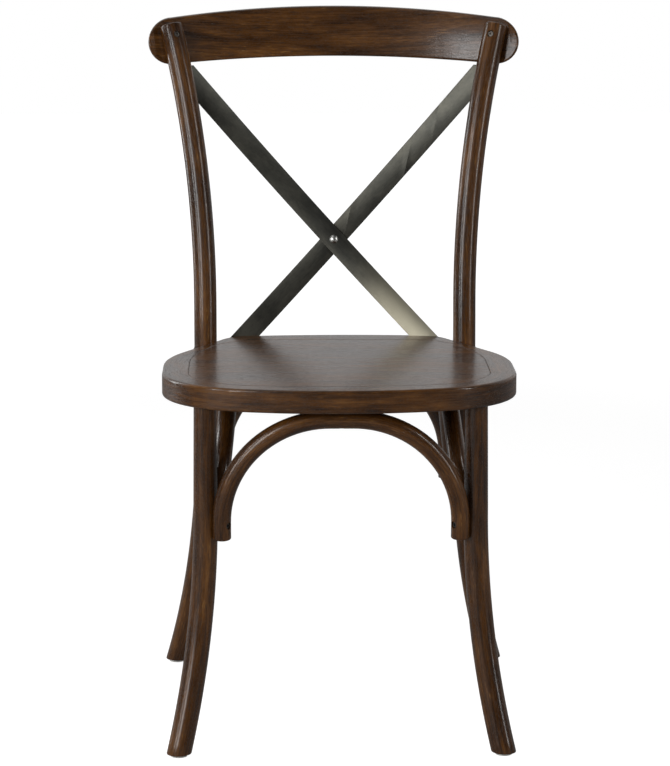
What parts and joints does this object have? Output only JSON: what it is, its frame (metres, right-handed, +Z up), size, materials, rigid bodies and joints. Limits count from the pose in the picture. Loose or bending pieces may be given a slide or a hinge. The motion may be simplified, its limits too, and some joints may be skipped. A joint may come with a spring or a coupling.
{
  "type": "cross back dining chair",
  "caption": "Dark stained bentwood dining chair with a flat seat, a curved crest rail, a flat steel cross back and bent arches between the legs.",
  "frame": {"origin": "floor level under the middle of the chair's footprint", "axes": "+Z up from the floor, the chair faces -Y, X runs across the chair"},
  "size_m": [0.487, 0.5255, 0.887],
  "materials": {
    "dark_wood": "satin",
    "strap_steel": "satin",
    "fastener_steel": "satin",
    "glide_plastic": "matte"
  },
  "bodies": {
    "root": {"seat_ring": "dark_wood", "seat_panel": "dark_wood", "rear_post_left": "dark_wood", "rear_post_right": "dark_wood", "front_leg_left": "dark_wood", "front_leg_right": "dark_wood", "crest_rail": "dark_wood", "cross_strap_front": "strap_steel", "cross_strap_rear": "strap_steel", "cross_rivet": "fastener_steel", "front_arch": "dark_wood", "rear_arch": "dark_wood", "side_arch_left": "dark_wood", "side_arch_right": "dark_wood", "crest_screws": "fastener_steel", "strap_top_screws": "fastener_steel", "strap_bottom_screws": "fastener_steel", "post_seat_bolts": "fastener_steel", "front_arch_screws": "fastener_steel", "rear_arch_screws": "fastener_steel", "side_arch_screws": "fastener_steel", "foot_glides": "glide_plastic"}
  },
  "joints": []
}
